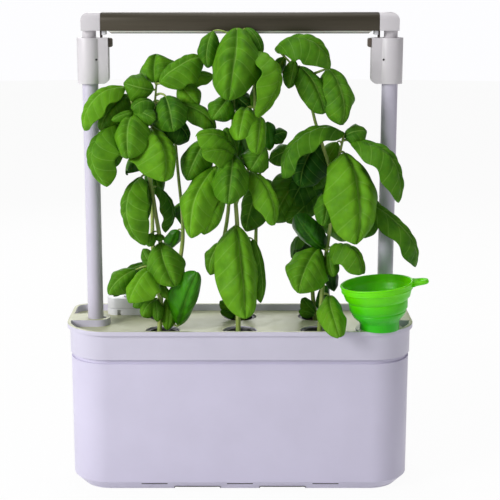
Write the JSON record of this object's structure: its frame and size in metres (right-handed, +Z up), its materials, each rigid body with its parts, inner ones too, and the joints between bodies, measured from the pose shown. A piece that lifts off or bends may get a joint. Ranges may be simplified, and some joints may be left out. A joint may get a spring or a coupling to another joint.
{
  "type": "countertop hydroponic planter",
  "caption": "Countertop water planter: tub with lift-off lid, slotted pots, basil plants, a height-locking lamp on two posts and a folding fill funnel.",
  "frame": {"origin": "on the ground under the middle of the tub's outline", "axes": "+X along the tub to the right seen from the front, +Y to the back, +Z up"},
  "size_m": [0.4124, 0.1692, 0.546],
  "materials": {
    "tank_plastic": "satin lavender white",
    "lid_plastic": "satin lavender white",
    "cap_plastic": "satin white",
    "post_tube": "painted pale grey, glossy",
    "lamp_metal": "drawn and anodised, satin",
    "dark_strip": "moulded, dark brown",
    "frosted_cover": "frosted",
    "board_white": "solder resist, white",
    "chip_yellow": "phosphor yellow",
    "pot_black": "moulded, black",
    "sponge_brown": "damp peat sponge",
    "basil_green": "waxy leaf",
    "funnel_rubber": "glossy green silicone",
    "foot_rubber": "matte",
    "screw_steel": "blackened",
    "control_white": "satin white",
    "button_grey": "satin",
    "inlet_black": "moulded",
    "float_orange": "foamed",
    "pump_dark": "moulded"
  },
  "bodies": {
    "tank": {"tank_shell": "tank_plastic", "tank_feet": "foot_rubber", "pump_body": "pump_dark", "pump_intake_cover": "pump_dark", "pump_suction_feet": "foot_rubber"},
    "lid": {"lid_moulding": "lid_plastic", "left_post": "post_tube", "right_post": "post_tube", "left_sleeve": "cap_plastic", "right_sleeve": "cap_plastic", "sleeve_set_screws": "screw_steel", "control_base": "control_white", "control_cover": "control_white", "power_inlet": "inlet_black", "float_guide": "control_white", "pot_front_left": "pot_black", "sponge_front_left": "sponge_brown", "basil_front_left": "basil_green", "pot_front_centre": "pot_black", "sponge_front_centre": "sponge_brown", "basil_front_centre": "basil_green", "pot_front_right": "pot_black", "sponge_front_right": "sponge_brown", "basil_front_right": "basil_green", "pot_back_left": "pot_black", "sponge_back_left": "sponge_brown", "basil_back_left": "basil_green", "pot_back_centre": "pot_black", "sponge_back_centre": "sponge_brown", "basil_back_centre": "basil_green", "pot_back_right": "pot_black", "sponge_back_right": "sponge_brown", "basil_back_right": "basil_green"},
    "lamp": {"lamp_housing": "lamp_metal", "light_board": "board_white", "light_chips": "chip_yellow", "lamp_diffuser": "frosted_cover", "left_lamp_elbow": "cap_plastic", "right_lamp_elbow": "cap_plastic", "left_lock_strip": "dark_strip", "right_lock_strip": "dark_strip"},
    "left_lock": {"left_lock_slider": "control_white"},
    "right_lock": {"right_lock_slider": "control_white"},
    "button": {"power_button": "button_grey"},
    "float": {"level_float": "float_orange"},
    "funnel": {"fill_funnel": "funnel_rubber"}
  },
  "joints": [
    {"name": "lid_lift", "type": "slide", "parent": "tank", "child": "lid", "axis": [0, 0, 1], "range_m": [0, 0.17]},
    {"name": "lamp_height", "type": "slide", "parent": "lid", "child": "lamp", "axis": [0, 0, 1], "range_m": [0, 0.04]},
    {"name": "left_lock_slide", "type": "slide", "parent": "lid", "child": "left_lock", "axis": [0, 0, 1], "range_m": [-0.01, 0]},
    {"name": "right_lock_slide", "type": "slide", "parent": "lid", "child": "right_lock", "axis": [0, 0, 1], "range_m": [-0.01, 0]},
    {"name": "button_press", "type": "slide", "parent": "lid", "child": "button", "axis": [0, 0, -1], "range_m": [0, 0.0009], "stiffness_N_per_m": 400, "springref_m": -0.002},
    {"name": "float_rise", "type": "slide", "parent": "lid", "child": "float", "axis": [0, 0, 1], "range_m": [0, 0.09]},
    {"name": "funnel_lift", "type": "slide", "parent": "lid", "child": "funnel", "axis": [0, 0, 1], "range_m": [0, 0.01]}
  ]
}
